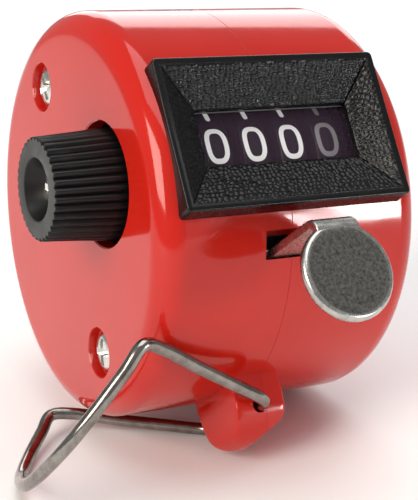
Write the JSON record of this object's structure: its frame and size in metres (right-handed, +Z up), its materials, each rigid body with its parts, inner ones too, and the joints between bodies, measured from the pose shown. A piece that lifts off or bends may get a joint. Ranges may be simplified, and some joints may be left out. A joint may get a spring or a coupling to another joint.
{
  "type": "hand tally counter",
  "caption": "Hand-held mechanical tally counter with a round case, number wheels behind a window, thumb lever, reset knob and swinging finger loop.",
  "frame": {"origin": "centre of the bottom of the object box, on the table", "axes": "+Z up; +X to the right along the drum, 6 degrees off its axis; -Y towards the user, the window faces -Y and up"},
  "size_m": [0.05, 0.0622, 0.0509],
  "materials": {
    "red_shell": "gloss",
    "black_shell": "grained",
    "black_knob": "satin",
    "clear_lens": "gloss",
    "number_wheel": "satin",
    "pinion_nylon": "satin",
    "nickel_plate": "gloss",
    "zinc_screw": "gloss",
    "frame_steel": "satin",
    "spring_steel": "satin",
    "brass_star": "satin"
  },
  "bodies": {
    "case": {"case_left_half": "red_shell", "case_right_half": "red_shell", "case_screw_upper": "zinc_screw", "case_screw_lower": "zinc_screw", "window_bezel": "black_shell", "window_lens": "clear_lens", "mechanism_frame": "frame_steel", "pinion_shaft": "frame_steel", "lever_pivot_pin": "frame_steel"},
    "reset_shaft": {"wheel_shaft": "frame_steel", "shaft_clip": "spring_steel", "reset_knob": "black_knob", "knob_screw": "zinc_screw"},
    "lever": {"thumb_lever": "nickel_plate", "escapement_verge": "frame_steel", "lever_return_spring": "spring_steel"},
    "loop": {"finger_loop": "nickel_plate"},
    "thousands": {"thousands_wheel": "number_wheel", "thousands_reset_pawl": "spring_steel"},
    "hundreds": {"hundreds_wheel": "number_wheel", "hundreds_reset_pawl": "spring_steel"},
    "tens": {"tens_wheel": "number_wheel", "tens_reset_pawl": "spring_steel"},
    "units": {"units_wheel": "number_wheel", "units_reset_pawl": "spring_steel", "star_wheel": "brass_star"},
    "thousands_carry": {"thousands_pinion": "pinion_nylon"},
    "hundreds_carry": {"hundreds_pinion": "pinion_nylon"},
    "tens_carry": {"tens_pinion": "pinion_nylon"}
  },
  "joints": [
    {"name": "lever_press", "type": "hinge", "parent": "case", "child": "lever", "pos_m": [0.00573, -0.0043, 0.02017], "axis": [-0.9945, 0, 0.1045], "range_deg": [0, 5], "stiffness_Nm_per_rad": 0.03, "springref_deg": -8.59},
    {"name": "reset_turn", "type": "hinge", "parent": "case", "child": "reset_shaft", "pos_m": [-0.01296, -0.00112, 0.03373], "axis": [0.9945, 0, -0.1045], "continuous": true},
    {"name": "loop_swing", "type": "hinge", "parent": "case", "child": "loop", "pos_m": [0.00256, -0.00856, 0.00435], "axis": [0.0614, -0.809, 0.5846], "range_deg": [0, 208]},
    {"name": "thousands_turn", "type": "hinge", "parent": "case", "child": "thousands", "pos_m": [0.00067, -0.00112, 0.0323], "axis": [0.9945, 0, -0.1045], "range_deg": [0, 324]},
    {"name": "hundreds_turn", "type": "hinge", "parent": "case", "child": "hundreds", "pos_m": [0.00539, -0.00112, 0.0318], "axis": [0.9945, 0, -0.1045], "range_deg": [0, 324]},
    {"name": "tens_turn", "type": "hinge", "parent": "case", "child": "tens", "pos_m": [0.01012, -0.00112, 0.0313], "axis": [0.9945, 0, -0.1045], "range_deg": [0, 324]},
    {"name": "units_turn", "type": "hinge", "parent": "case", "child": "units", "pos_m": [0.01484, -0.00112, 0.03081], "axis": [0.9945, 0, -0.1045], "range_deg": [0, 324]},
    {"name": "thousands_carry_turn", "type": "hinge", "parent": "case", "child": "thousands_carry", "pos_m": [0.00241, 0.00738, 0.02591], "axis": [0.9945, 0, -0.1045], "range_deg": [-811, 1]},
    {"name": "hundreds_carry_turn", "type": "hinge", "parent": "case", "child": "hundreds_carry", "pos_m": [0.00713, 0.00738, 0.02541], "axis": [0.9945, 0, -0.1045], "range_deg": [-811, 1]},
    {"name": "tens_carry_turn", "type": "hinge", "parent": "case", "child": "tens_carry", "pos_m": [0.01186, 0.00738, 0.02491], "axis": [0.9945, 0, -0.1045], "range_deg": [-811, 1]}
  ],
  "couplings": [
    {"joint": "thousands_carry_turn", "follows": "thousands_turn", "ratio": -2.5},
    {"joint": "hundreds_carry_turn", "follows": "hundreds_turn", "ratio": -2.5},
    {"joint": "tens_carry_turn", "follows": "tens_turn", "ratio": -2.5}
  ]
}
